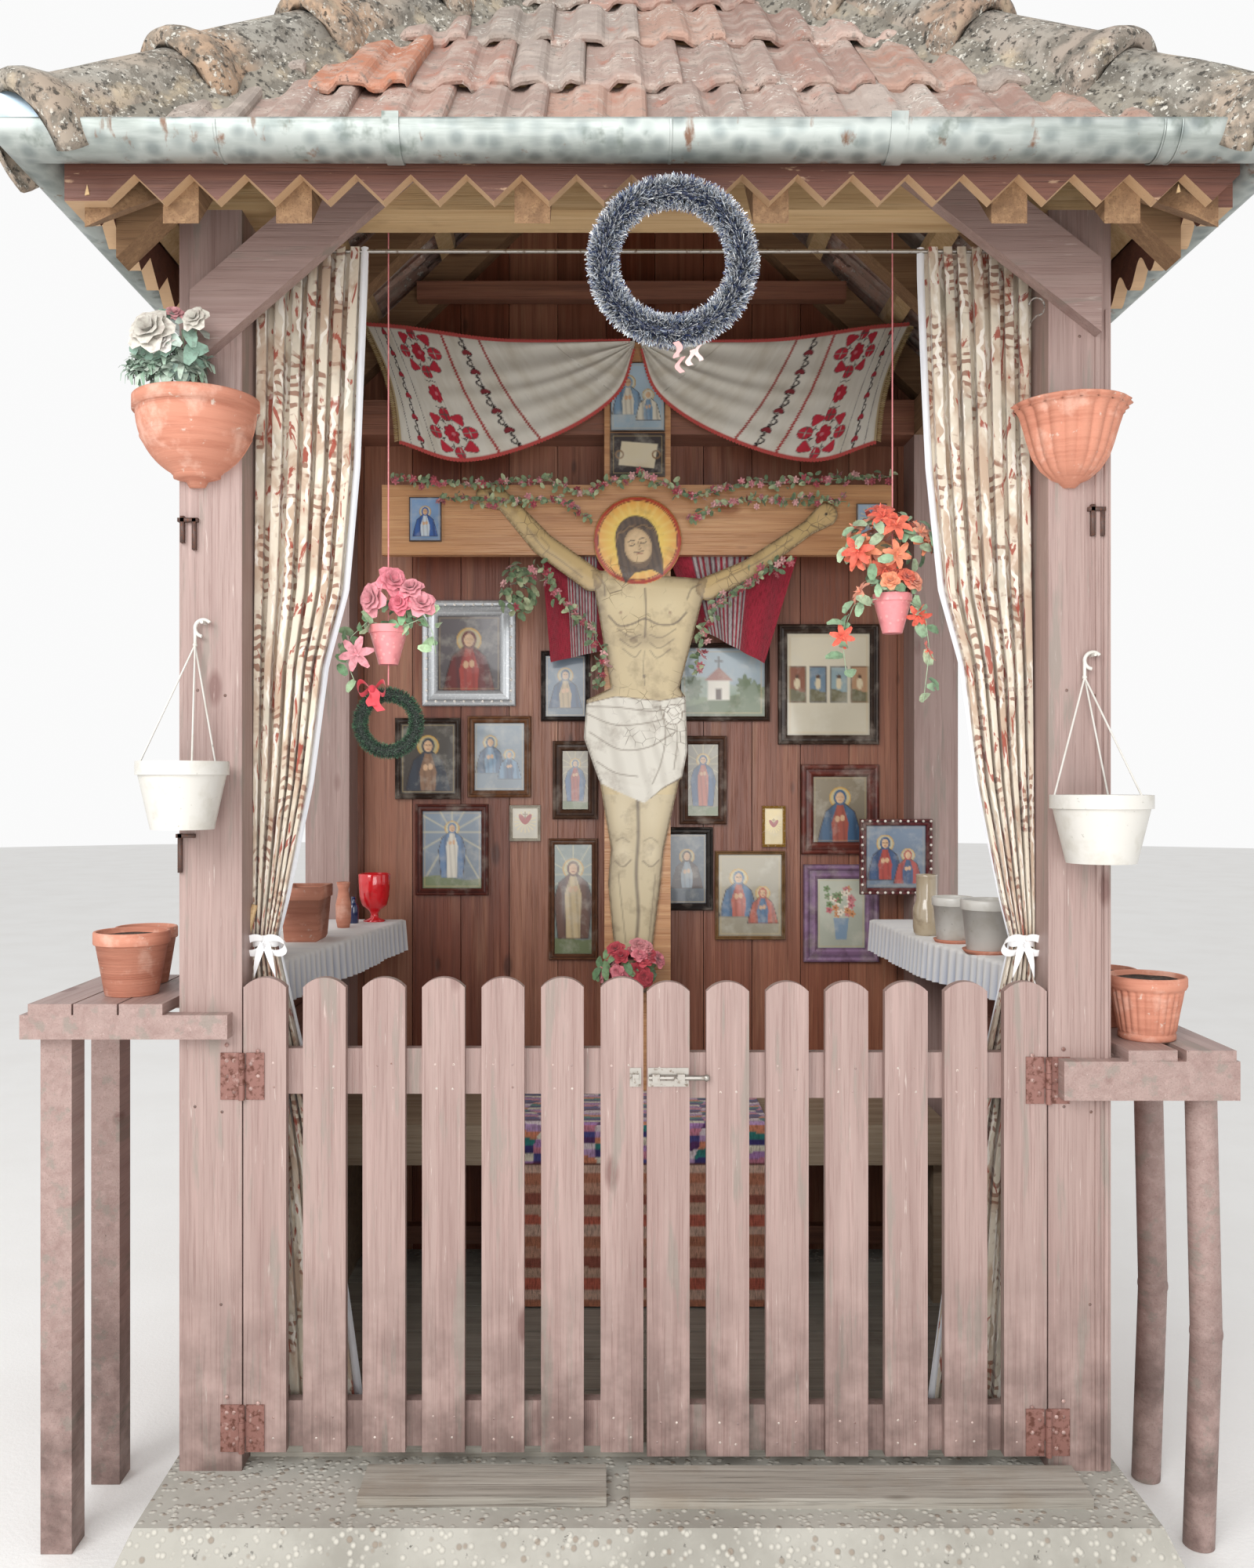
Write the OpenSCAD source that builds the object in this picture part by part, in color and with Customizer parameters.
// Wayside shrine: a timber hut on a concrete footing, with a tiled roof, a painted cross and a picket gate.
// Front faces -Y, +Z is up, the origin is at the middle of the ground plan. All lengths are millimetres.

/* [Timber frame] */
// Outside width over the posts
frame_w = 1790; // [1500:10:2400]
// Outside depth over the posts
frame_d = 1150; // [1000:10:1800]
// Side of a square post
post = 120; // [100:5:150]
// Height of a back post above the footing
post_h = 2278; // [2150:1:2600]
// Height of the side and back plates
plate_h = 95; // [80:5:140]
// Height of the front posts above the side plates
front_rise = 50; // [20:5:80]
// Depth of the front beam, front to back
beam_t = 100; // [60:5:120]
// Width of a knee brace board
brace_w = 110; // [80:5:130]
// Thickness of a knee brace board
brace_t = 32; // [20:1:45]
// Reach of a knee brace over the face of its post
brace_lap = 90; // [60:5:110]
// Distance from the plate tops down to where the left brace meets the inner edge of its post
brace_left_drop = 184; // [80:1:300]
// Distance from the plate tops down to where the right brace meets the inner edge of its post
brace_right_drop = 125; // [80:1:300]
// Slope of the left knee brace
brace_left_pitch = 41; // [35:1:50]
// Slope of the right knee brace
brace_right_pitch = 38; // [35:1:50]

/* [Footing and floor] */
// Height of the concrete footing
footing_h = 160; // [100:10:300]
// Reach of the footing in front of the posts
footing_front = 185; // [150:5:300]
// Reach of the footing beside and behind the posts
footing_side = 20; // [0:5:100]
// How far the foot of the footing spreads on each side
footing_spread = 55; // [0:5:120]
// Height of the sloping shoulder of the footing
shoulder_h = 120; // [50:10:150]
// Thickness of a floor board
floor_t = 28; // [20:1:40]
// Width of a floor board
floor_board_w = 140; // [100:5:200]
// Gap between floor boards
floor_gap = 4; // [2:1:8]
// Distance from the left post to the left threshold plank
threshold_start = 245; // [50:5:300]
// Depth of a threshold plank in front of the gate
threshold_d = 110; // [80:5:140]
// Thickness of a threshold plank
threshold_t = 20; // [15:1:22]

/* [Roof] */
// Slope of the roof
pitch = 44; // [38:1:48]
// Distance from the plate tops down to the batten plane at the tile edge
eave_drop = 30; // [0:2:40]
// Front posts to the face of the front fascia
front_overhang = 330; // [250:5:420]
// Side of the posts to the face of a side fascia
side_overhang = 80; // [60:5:160]
// Back wall to the end of the roof
back_overhang = 150; // [60:5:250]
// Reach of the tiles past the fascia
tile_reach = 40; // [30:1:60]
// Length of a tile that shows
gauge = 290; // [250:5:340]
// Thickness of a tile at its lower edge
tile_edge = 22; // [16:1:30]
// Thickness of a tile at its upper end
tile_head = 10; // [8:1:14]
// Thickness of a batten
batten_t = 24; // [18:1:30]
// Width of a batten
batten_w = 48; // [38:1:60]
// Width of a rafter
rafter_w = 60; // [45:5:80]
// Depth of a rafter
rafter_h = 80; // [60:5:100]
// Distance between rafters along the side slopes
rafter_pitch = 420; // [380:10:480]
// Thickness of the ridge board
ridge_t = 32; // [24:1:45]
// Radius of a hip or ridge tile at its lower end
cap_r = 90; // [75:1:110]
// Length of a hip or ridge tile that shows
cap_l = 318; // [280:1:400]
// How much smaller a hip tile is at its upper end
cap_taper = 10; // [4:1:16]
// Height of the middle of a hip tile above the batten plane
cap_lift = 12; // [6:1:24]
// Radius of the flared lower end of a hip tile
snout_r = 115; // [100:1:130]
// Length of the flared lower end of a hip tile
snout_l = 70; // [50:5:90]

/* [Fascias and gutters] */
// Thickness of a fascia
fascia_t = 24; // [18:1:30]
// Distance from the batten plane at the tile edge down to the tips of the teeth
tooth_drop = 56; // [50:1:90]
// Height of a tooth
tooth_h = 44; // [25:1:48]
// Width of a tooth
tooth_w = 92; // [60:1:130]
// Length of the plain end of a fascia
plain_end = 70; // [40:5:120]
// Outer radius of a gutter
gutter_r = 44; // [42:1:60]
// Thickness of the gutter metal
gutter_t = 3; // [2:0.5:4]
// Height of the gutter rim above the batten plane at the tile edge
gutter_lift = 33; // [28:1:35]
// Radius of the rolled rim of a gutter
bead_r = 6; // [4:0.5:8]
// Width of a strap round the front gutter
band_w = 27; // [20:1:40]
// Thickness of a strap
band_t = 2.7; // [1.7:0.5:3.7]
// Distance of the left strap from the middle
band_left_x = 420; // [200:5:800]
// Distance of the right strap from the middle
band_right_x = 390; // [200:5:800]
// Length of a corner guard on the gutter rim
guard_l = 118; // [80:1:160]
// Height of a corner guard
guard_h = 75; // [60:1:100]

/* [Walls] */
// Thickness of a wall plank
plank_t = 24; // [18:1:30]
// Width of a plank of the back wall
plank_w = 136; // [100:1:180]
// Gap between wall planks
plank_gap = 2; // [1:1:4]
// Height of the side walls above the footing
side_wall_h = 896; // [800:1:1100]
// Width of a side wall board
side_board_w = 150; // [100:5:200]
// Thickness of a window board
window_board_t = 30; // [20:1:40]
// Height of a wall rail
rail_h = 50; // [40:5:80]
// Thickness of a wall rail
rail_t = 36; // [24:1:60]

/* [Gate] */
// Height above the footing of the underside of the left leaf
gate_z = 36; // [34:1:60]
// How much lower the right leaf hangs
right_drop = 8; // [0:1:9]
// Height of the gate
gate_h = 912; // [700:2:1000]
// Width of a picket
picket_w = 82; // [60:1:90]
// Thickness of a picket
picket_t = 20; // [16:1:28]
// Number of pickets in a leaf
pickets = 7; // [5:1:8]
// Height of a gate rail
gate_rail_h = 88; // [60:2:100]
// Thickness of a gate rail
gate_rail_t = 24; // [18:1:35]
// Height of the lower rail above the feet of the pickets
low_rail_z = 2; // [0:1:60]
// Distance from the tops of the pickets down to the upper rail
top_rail_drop = 140; // [100:2:200]
// Gap between the two leaves
leaf_gap = 7; // [6:1:12]
// Gap between a leaf and its post
hinge_gap = 3; // [2:0.5:5]
// Length of a butt hinge
hinge_l = 90; // [60:5:110]
// Width of one flap of a hinge
flap_w = 42; // [30:1:50]
// Thickness of a hinge flap
flap_t = 2.5; // [2:0.5:4]
// Radius of a hinge knuckle
knuckle_r = 6; // [5:0.5:8]
// Radius of a hinge pin
pin_r = 3; // [2:0.5:4]

/* [Bolt] */
// Height above the footing of the bolt
bolt_z = 757; // [750:1:765]
// Radius of the bolt
bolt_r = 5; // [4:0.5:6]
// Travel of the bolt
bolt_travel = 26; // [20:1:30]

/* [Cross] */
// Distance of the cross to the right of the middle
cross_x = 15; // [-40:5:40]
// Width of the cross beam
cross_w = 1390; // [1000:10:1450]
// Height of the cross beam
cross_beam_h = 190; // [120:5:240]
// Width of the upright
upright_w = 180; // [120:5:220]
// Thickness of the cross timbers
cross_t = 30; // [20:1:45]
// Height of the top of the upright above the back plate
cross_rise = 147; // [20:1:160]
// Distance from the top of the upright down to the underside of the cross beam
cross_beam_drop = 577; // [450:1:700]
// Radius of the halo
halo_r = 120; // [90:5:140]
// Thickness of the painted figure
figure_t = 12; // [6:1:20]

/* [Furniture] */
// Height above the footing of the bench seat
bench_z = 480; // [400:10:550]
// Depth of the bench
bench_d = 400; // [300:10:450]
// Thickness of the bench boards
bench_t = 30; // [20:1:40]
// Height of the board along the front of the bench
apron_h = 100; // [60:5:140]
// Thickness of the corner shelves
shelf_t = 22; // [16:1:30]
// Length of a corner shelf along the side wall
shelf_l = 825; // [700:5:840]

/* [Plant stands] */
// Reach of the left plant stand beside its post
stand_left_w = 292; // [250:2:320]
// Reach of the right plant stand beside its post
stand_right_w = 232; // [200:2:320]
// Depth of a plant stand
stand_d = 300; // [200:10:400]
// Height above the footing of the rails of the left stand
stand_left_z = 882; // [600:1:1000]
// Height above the footing of the rails of the right stand
stand_right_z = 794; // [600:1:1000]
// Height of a rail of the left stand
left_rail_h = 46; // [40:1:80]
// Height of a rail of the right stand
right_rail_h = 74; // [40:1:90]
// Overlap of a stand rail on the front of its post
stand_lap = 102; // [60:1:115]
// Thickness of a stand rail
stand_rail_t = 34; // [20:1:45]
// Thickness of a stand board
stand_board_t = 21; // [16:1:30]
// Side of a square leg of the left stand
stand_leg = 60; // [40:5:70]
// Radius of a pole leg of the right stand
pole_r = 29; // [20:1:35]

/* [Pots] */
// Radius of the left half bowl
bowl_left_r = 120; // [100:1:130]
// Height of the left half bowl
bowl_left_h = 168; // [140:1:190]
// Radius of the right half bowl
bowl_right_r = 111; // [100:1:125]
// Height of the right half bowl
bowl_right_h = 157; // [130:1:180]
// Distance from the plate tops down to the foot of the half bowls
bowl_drop = 485; // [450:1:700]
// Height above the footing of the foot of the left hanging pot
hanging_left_z = 1236; // [1100:1:1300]
// Height above the footing of the foot of the right hanging pot
hanging_right_z = 1174; // [1100:1:1300]
// Radius of the left hanging pot
hanging_left_r = 84; // [60:1:100]
// Radius of the right hanging pot
hanging_right_r = 91; // [60:1:100]
// Height of a hanging pot
hanging_h = 126; // [90:1:150]
// Length of the arms of a hanger, from the rim up to its hook
hanger_h = 224; // [150:1:260]
// Height above the footing of the foot of the left string pot
string_left_z = 1564; // [1400:1:1800]
// Height above the footing of the foot of the right string pot
string_right_z = 1628; // [1400:1:1800]
// Radius of a string pot
string_pot_r = 40; // [30:1:50]
// Distance of the string pots behind the faces of the front posts
string_y = 158; // [140:1:200]

/* [Cloths] */
// Thickness of the folded curtains
curtain_t = 36; // [20:2:50]
// Height above the footing where the curtains are tied
tie_z = 1010; // [960:10:1200]
// Width of a curtain at its tie
tie_w = 45; // [30:1:120]
// Width of a curtain at its top
curtain_top_w = 225; // [150:5:300]
// Width of a curtain at its foot
curtain_foot_w = 210; // [150:5:300]
// Width of a window net
net_w = 260; // [150:10:400]
// Thickness of a hanging cloth
cloth_t = 8; // [4:1:15]
// Height of the towel from its middle nail down to its lowest point
towel_h = 321; // [250:1:340]
// Half width of the towel
towel_w = 732; // [600:1:740]
// Depth of the skirts round the corner shelves
skirt_h = 90; // [60:1:110]
// Distance of the tinsel wreath to the right of the middle
wreath_x = 32; // [-200:1:200]
// Outside diameter of the tinsel wreath
wreath_d = 290; // [250:10:350]
// Thickness of the tinsel
tinsel_d = 62; // [40:2:80]
// Outside diameter of the small wreath
small_wreath_d = 154; // [120:2:180]
// Thickness of the small wreath
small_tube_d = 38; // [24:2:46]

/* [Hidden] */
$fn = 32;

rise = tan(pitch);
half_w = frame_w / 2;
inner_w = half_w - post;
slack = 0.3;
seat = 0.1;
// Depth in front of the posts that the gutter and its straps reach
gutter_reach = front_overhang + 2 * gutter_r + slack + band_t;
front_y = (gutter_reach - frame_d - plank_t - back_overhang) / 2;
back_y = front_y + frame_d;
verge_y = back_y + plank_t + back_overhang;
ground_z = footing_h;
// The hut stands off the middle, because the plant stands differ in reach
plan_shift = (stand_left_w - stand_right_w) / 2;
fascia_x = half_w + side_overhang;
fascia_y = front_y - front_overhang;
eave_x = fascia_x + tile_reach;
eave_y = fascia_y - tile_reach;
ridge_y = eave_y + eave_x;
batten_v = batten_t / cos(pitch);
rafter_v = rafter_h / cos(pitch);
plate_top = post_h + plate_h;
front_post_h = plate_top + front_rise;
eave_z = plate_top - eave_drop;
tooth_z = eave_z - tooth_drop;
gutter_z = eave_z + gutter_lift;
bowl_z = plate_top - bowl_drop;
cross_top = plate_top + cross_rise;
cross_beam_z = cross_top - cross_beam_drop;

// Height of the batten plane at a distance d in from the tile edge
function roof_z(d) = eave_z + d * rise;
front_beam_top = roof_z(front_overhang + tile_reach) - batten_v - rafter_v + 10;

// A board or bar given by its low corner and its size
module bar(x, y, z, w, d, h) translate([x, y, z]) cube([w, d, h]);

// Straight round bar between two points
module rod(a, b, r) {
  l = norm(b - a);
  translate(a) rotate([0, acos((b[2] - a[2]) / l), atan2(b[1] - a[1], b[0] - a[0])]) cylinder(h = l, r = r);
}

// Outline in X and Z carried along Y from y0 to y1
module along_y(y0, y1, points)
  translate([0, y1, 0]) rotate([90, 0, 0]) linear_extrude(y1 - y0) polygon(points);

// Outline in Y and Z carried along X from x0 to x1
module along_x(x0, x1, points)
  translate([x0, 0, 0]) rotate([90, 0, 90]) linear_extrude(x1 - x0) polygon(points);

// Draws a right hand piece, or its mirror image for the left hand
module scale_side(sx) {
  if (sx > 0) children();
  else mirror([1, 0, 0]) children();
}

// The hut's middle on the ground
module on_ground() translate([plan_shift, 0, 0]) children();

// Everything above the footing is drawn from its top
module on_footing() translate([plan_shift, 0, ground_z]) children();

// Concrete footing with a sloping shoulder
module footing() {
  y0 = front_y - footing_front;
  y1 = back_y + plank_t + footing_side;
  x1 = half_w + footing_side;
  low = footing_h - shoulder_h;
  s = footing_spread;
  color("#B9B7B0") on_ground() {
    bar(-x1 - s, y0 - s, 0, 2 * (x1 + s), y1 - y0 + 2 * s, low);
    translate([0, 0, low]) intersection() {
      along_y(y0 - s, y1 + s, [[-x1 - s, 0], [x1 + s, 0], [x1, shoulder_h], [-x1, shoulder_h]]);
      along_x(-x1 - s, x1 + s, [[y0 - s, 0], [y1 + s, 0], [y1, shoulder_h], [y0, shoulder_h]]);
    }
  }
}

threshold_gap = 12;
// How far each threshold plank stays left of the middle
threshold_joint = [75, 32];
// How far the right threshold plank runs past the inner edge of its post
threshold_lap = 38;

// Two weathered planks lying in front of the gate
module thresholds() {
  y = front_y - threshold_d - threshold_gap;
  left = -inner_w + threshold_start;
  color("#A7A199") on_footing() {
    bar(left, y, 0, -threshold_joint[0] - left, threshold_d, threshold_t);
    bar(-threshold_joint[1], y - 4, 0,
      threshold_joint[1] + inner_w + threshold_lap, threshold_d, threshold_t);
  }
}

floor_margin = 6;

// Floor boards laid across the hut between the front and the back posts, and one between the front posts
module floor_boards() {
  step = floor_board_w + floor_gap;
  from_y = front_y + post + 2;
  n = floor((back_y - post - 2 - from_y) / step);
  w = frame_w - 2 * plank_t - 2 * floor_margin;
  sill_y = front_y + picket_t + gate_rail_t + 8;
  color("#B4B0A6") on_footing() {
    for (i = [0:n - 1]) bar(-w / 2, from_y + i * step, 0, w, floor_board_w, floor_t);
    bar(-inner_w + 2, sill_y, 0, 2 * inner_w - 4, front_y + post - sill_y, floor_t);
  }
}

// Four corner posts, the front pair taller
module posts() {
  color("#A98781") on_footing() for (x = [-half_w, inner_w]) {
    bar(x, front_y, 0, post, post, front_post_h);
    bar(x, back_y - post, 0, post, post, post_h);
  }
}

// Plates along both sides, lying on the back posts and butting against the front posts
module side_plates() {
  color("#B08E6C") on_footing() for (x = [-half_w, inner_w])
    bar(x, front_y + post, post_h, post, frame_d - post, plate_h);
}

// Beam on the front posts that carries the front rafters, its ends bevelled under the side battens
module front_beam() {
  color("#D8B98C") on_footing() intersection() {
    bar(-half_w, front_y, front_post_h, frame_w, beam_t, front_beam_top - front_post_h);
    along_y(front_y, front_y + beam_t, below_sides(batten_v + seat));
  }
}

// Outline under both side slopes, dropped by a height
function below_sides(drop) = [
  [-eave_x, 0], [eave_x, 0], [eave_x, eave_z - drop], [0, roof_z(eave_x) - drop], [-eave_x, eave_z - drop]
];

// Outline under the front slope, dropped by a height, reaching to the back
function below_front(drop) = [
  [eave_y, 0], [verge_y, 0], [verge_y, roof_z(verge_y - eave_y) - drop], [eave_y, eave_z - drop]
];

module back_plate() {
  color("#8E6A50") on_footing() bar(-inner_w, back_y - post, post_h, 2 * inner_w, post, plate_h);
}

// Boards that brace the front posts to the front beam
module knee_braces() {
  color("#A98781") on_footing() {
    scale_side(-1) brace(brace_left_drop, brace_left_pitch);
    scale_side(1) brace(brace_right_drop, brace_right_pitch);
  }
}

brace_reach = 420;
// Distance of the upper end of a brace below the top of the front beam
brace_end = 55;

module brace(drop, slope) {
  low = post_h - 3 * post;
  translate([0, front_y, 0]) rotate([90, 0, 0]) linear_extrude(brace_t) intersection() {
    translate([inner_w, plate_top - drop]) rotate(180 - slope) translate([-2 * post, -brace_w])
      square([brace_reach + 3 * post, brace_w]);
    translate([inner_w - brace_reach, low])
      square([brace_reach + brace_lap, front_beam_top - brace_end - low]);
  }
}

// The plan of one slope, set back from the hip lines by a distance
function side_plan(b) = [
  [eave_x, eave_y + b], [0, ridge_y + b], [0, verge_y], [eave_x, verge_y]
];
function front_plan(b) = [[-eave_x + b, eave_y], [eave_x - b, eave_y], [0, ridge_y - b]];

// Layer of a right hand slope between two depths under the batten plane
module side_layer(top, bottom, x0, x1) {
  along_y(eave_y, verge_y, [
    [x0, roof_z(eave_x - x0) - bottom], [x1, roof_z(eave_x - x1) - bottom],
    [x1, roof_z(eave_x - x1) - top], [x0, roof_z(eave_x - x0) - top]
  ]);
}

// Layer of the front slope between two depths under the batten plane
module front_layer(top, bottom, y0, y1) {
  along_x(-eave_x, eave_x, [
    [y0, roof_z(y0 - eave_y) - bottom], [y1, roof_z(y1 - eave_y) - bottom],
    [y1, roof_z(y1 - eave_y) - top], [y0, roof_z(y0 - eave_y) - top]
  ]);
}

module plan_prism(points) linear_extrude(roof_z(eave_x) + 400) polygon(points);

// Where the hip tiles end under the first ridge tile, in front of the ridge
cap_join = 60;
hip_set = rafter_w / 2 * sqrt(2);
hip_rise = atan(rise / sqrt(2));
hip_l = eave_x * sqrt(2) / cos(hip_rise);
// Height that a hip rafter loses so that both its top edges meet the slopes
hip_drop = rafter_w / 2 / sqrt(2) * rise;

// Places its children along the right hand hip, X running up the hip from the eave corner
module on_hip(z)
  translate([eave_x, eave_y, roof_z(0) + z]) rotate([0, 0, 135]) rotate([0, -hip_rise, 0]) children();

// Hip rafters run from the front corners to the ridge
module hip_rafters() {
  color("#8B6C50") on_footing() for (sx = [-1, 1]) scale_side(sx) difference() {
    intersection() {
      on_hip(-batten_v - hip_drop - seat) bar(0, -rafter_w / 2, -rafter_h, hip_l, rafter_w, rafter_h);
      bar(ridge_t / 2, fascia_y + fascia_t, 0, fascia_x - fascia_t - ridge_t / 2, eave_x, 2 * eave_z);
    }
    plates_room();
  }
}

// Space of the plates, the posts and the front beam, cut out of the rafters to seat them
module plates_room() {
  bar(inner_w, front_y, 0, post, post, front_post_h);
  bar(inner_w, front_y, post_h, post, frame_d, plate_h);
  bar(-half_w, front_y, front_post_h, frame_w, beam_t, front_beam_top - front_post_h);
}

// Rafters of both side slopes, notched over the side plates
module side_rafters() {
  color("#8B6C50") on_footing() for (sx = [-1, 1]) scale_side(sx) difference() {
    intersection() {
      side_layer(batten_v + seat, batten_v + rafter_v, fascia_x - fascia_t, ridge_t / 2);
      plan_prism(side_plan(hip_set));
      for (y = rafter_rows()) bar(0, y, 0, eave_x, rafter_w, 2 * roof_z(eave_x));
    }
    plates_room();
  }
}

// Front edges of the side rafters, the last pair outside the back wall
function rafter_rows() = [
  verge_y - rafter_w - fascia_t, back_y - rafter_w - slack,
  for (y = [back_y - rafter_w - rafter_pitch : -rafter_pitch : eave_y + tile_reach + 2 * fascia_t]) y
];

// Middles of the front rafters, the last pair short ones against the hips
front_rafter_x = [200, 600, 790];

// Front rafters, notched over the front beam
module front_rafters() {
  color("#8B6C50") on_footing() difference() {
    intersection() {
      front_layer(batten_v + seat, batten_v + rafter_v, fascia_y + fascia_t, ridge_y - ridge_t);
      plan_prism(front_plan(hip_set));
      for (sx = [-1, 1], x = front_rafter_x)
        bar(sx * x - rafter_w / 2, eave_y, 0, rafter_w, eave_x, 2 * roof_z(eave_x));
    }
    plates_room();
  }
}

// How far the ridge board reaches below the rafters
ridge_drop = 20;
ridge_z = roof_z(eave_x - ridge_t / 2) - batten_v - rafter_v - ridge_drop;

module ridge_board() {
  color("#8B6C50") on_footing() bar(-ridge_t / 2, ridge_y - ridge_t / 2, ridge_z,
    ridge_t, verge_y - ridge_y + ridge_t / 2 - fascia_t, rafter_v + ridge_drop);
}

courses = floor(eave_x / cos(pitch) / gauge);

// Battens across the rafters of all three slopes
module battens() {
  run = gauge * cos(pitch);
  w = batten_w * cos(pitch);
  first = tile_reach + fascia_t + 6;
  color("#C2A882") on_footing() for (i = [0:courses]) let (d = first + i * run) {
    for (sx = [-1, 1]) scale_side(sx) intersection() {
      side_layer(seat, batten_v, eave_x - d, eave_x - d - w);
      plan_prism(side_plan(6));
    }
    intersection() {
      front_layer(seat, batten_v, eave_y + d, eave_y + d + w);
      plan_prism(front_plan(6));
    }
  }
}

// Stepped outline of the tile courses: distance in from the eave against height
function courses_outline(reach) = [
  [0, roof_z(0)],
  for (i = [0:courses], p = [
    [min(reach, i * gauge * cos(pitch)), tile_edge], [min(reach, (i + 1) * gauge * cos(pitch)), tile_head]
  ]) [p[0], roof_z(p[0]) + p[1] / cos(pitch)],
  [reach, roof_z(reach)]
];

module roof_side() {
  intersection() {
    along_y(eave_y, verge_y - gutter_t - slack,
      [for (p = courses_outline(eave_x)) [eave_x - p[0], p[1]]]);
    plan_prism(side_plan(0));
  }
}

module roof_front_solid() {
  intersection() {
    along_x(-eave_x, eave_x, [for (p = courses_outline(eave_x)) [eave_y + p[0], p[1]]]);
    plan_prism(front_plan(0));
  }
}
module roof_front() color("#B98F80") on_footing() roof_front_solid();
module roof_left() color("#B98F80") on_footing() mirror([1, 0, 0]) roof_side();
module roof_right() color("#B98F80") on_footing() roof_side();

// A row of round tiles along X: each has a flared lower end that laps over the one below
module cap_row(l) {
  for (i = [0:ceil(l / cap_l) - 1]) translate([i * cap_l, 0, 0]) rotate([0, 90, 0]) {
    cylinder(h = snout_l, r1 = snout_r, r2 = cap_r + 6);
    cylinder(h = min(cap_l, l - i * cap_l), r1 = cap_r, r2 = cap_r - cap_taper);
  }
}

// Everything up to the tops of the tile edges
module under_tiles() {
  intersection() {
    along_y(eave_y - 1, verge_y + 1, below_sides(-tile_edge / cos(pitch)));
    along_x(-2 * eave_x, 2 * eave_x, below_front(-tile_edge / cos(pitch)));
  }
}

// Hip tiles bedded in mortar on the front corners
module hip_tiles() {
  color("#A8958A") on_footing() for (sx = [-1, 1]) scale_side(sx) difference() {
    intersection() {
      on_hip(cap_lift) cap_row(hip_l);
      bar(0, eave_y, 0, eave_x, eave_x - cap_join, 2 * eave_z);
    }
    under_tiles();
  }
}

module ridge_tiles() {
  color("#A8958A") on_footing() difference() {
    translate([0, verge_y, roof_z(eave_x) + cap_lift]) rotate([0, 0, -90])
      cap_row(verge_y - ridge_y + cap_join);
    under_tiles();
  }
}

// Back wall of upright planks, rising into the gable
module back_wall() {
  n = floor(frame_w / plank_w);
  w = frame_w / n;
  color("#8A5A48") on_footing() difference() {
    intersection() {
      for (i = [0:n - 1])
        bar(-half_w + i * w + plank_gap / 2, back_y, 0, w - plank_gap, plank_t, 2 * eave_z);
      along_y(back_y, back_y + plank_t, below_sides(batten_v + 2));
    }
    bar(-ridge_t / 2 - 1, back_y - 1, ridge_z - 1, ridge_t + 2, plank_t + 2, eave_z);
  }
}

// Distance from the plate tops up to the rail in the gable
gable_rail_rise = 286;

// Rails that the back planks are nailed to
module wall_rails() {
  z = plate_top + gable_rail_rise;
  w = eave_x - (z + rail_h + batten_v + 8 - eave_z) / rise;
  color("#7E5444") on_footing() {
    bar(-inner_w, back_y - rail_t, floor_t, 2 * inner_w, rail_t, rail_h);
    bar(-inner_w, back_y - rail_t, bench_z - bench_t - rail_h, 2 * inner_w, rail_t, rail_h);
    bar(-w, back_y - rafter_w - rail_t - slack, z, 2 * w, rail_t, rail_h);
  }
}

// Reach of a window board past the outside of the posts
sill_reach = 20;

// Side wall of level boards between the posts, with a window board on top
module side_wall() {
  n = round(side_wall_h / side_board_w);
  h = side_wall_h / n;
  for (i = [0:n - 1])
    bar(half_w - plank_t, front_y + post, i * h + plank_gap / 2, plank_t, frame_d - 2 * post, h - plank_gap);
  bar(inner_w + sill_reach, front_y + post, side_wall_h, post, frame_d - 2 * post, window_board_t);
}
module side_walls() color("#8F6457") on_footing() for (sx = [-1, 1]) scale_side(sx) side_wall();

// Outline of a fascia of a length: a plain end, then teeth with a number of straight steps per flank
function toothed(l, steps) =
  let (n = round((l - plain_end) / tooth_w - 0.5), half = (l - plain_end) / (2 * n + 1))
  concat([[l, roof_z(tile_reach) - 2], [0, roof_z(tile_reach) - 2], [0, tooth_z], [plain_end, tooth_z]],
    [for (i = [1:(2 * n + 1) * steps]) let (u = i / steps)
      [plain_end + u * half, tooth_z + tooth_h * (1 - cos(180 * u)) / 2]]);

module fascia_front() {
  color("#8B5B47") on_footing() translate([-fascia_x, fascia_y + fascia_t, 0]) rotate([90, 0, 0])
    linear_extrude(fascia_t) polygon(toothed(2 * fascia_x, 1));
}

// Toothed boards along both sides, pointed on the left and wavy on the right
module fascia_sides() {
  y0 = fascia_y + fascia_t;
  color("#8B5B47") on_footing() for (p = [[-fascia_x, 1], [fascia_x - fascia_t, 6]])
    translate([p[0], y0, 0]) rotate([90, 0, 90]) linear_extrude(fascia_t)
      polygon(toothed(verge_y - y0, p[1]));
}

// Half ring open upwards, round the middle of a gutter
module half_ring(r, t) difference() {
  circle(r, $fn = 48);
  circle(r - t, $fn = 48);
  translate([-2 * r, 0]) square(4 * r);
}

// Cross section of a half round gutter: a rolled front rim, and a back edge turned up behind the tiles
module gutter_section() {
  translate([gutter_r, 0]) half_ring(gutter_r, gutter_t);
  translate([2 * gutter_r - bead_r, 0]) circle(bead_r);
  square([gutter_t, 2]);
}

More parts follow.
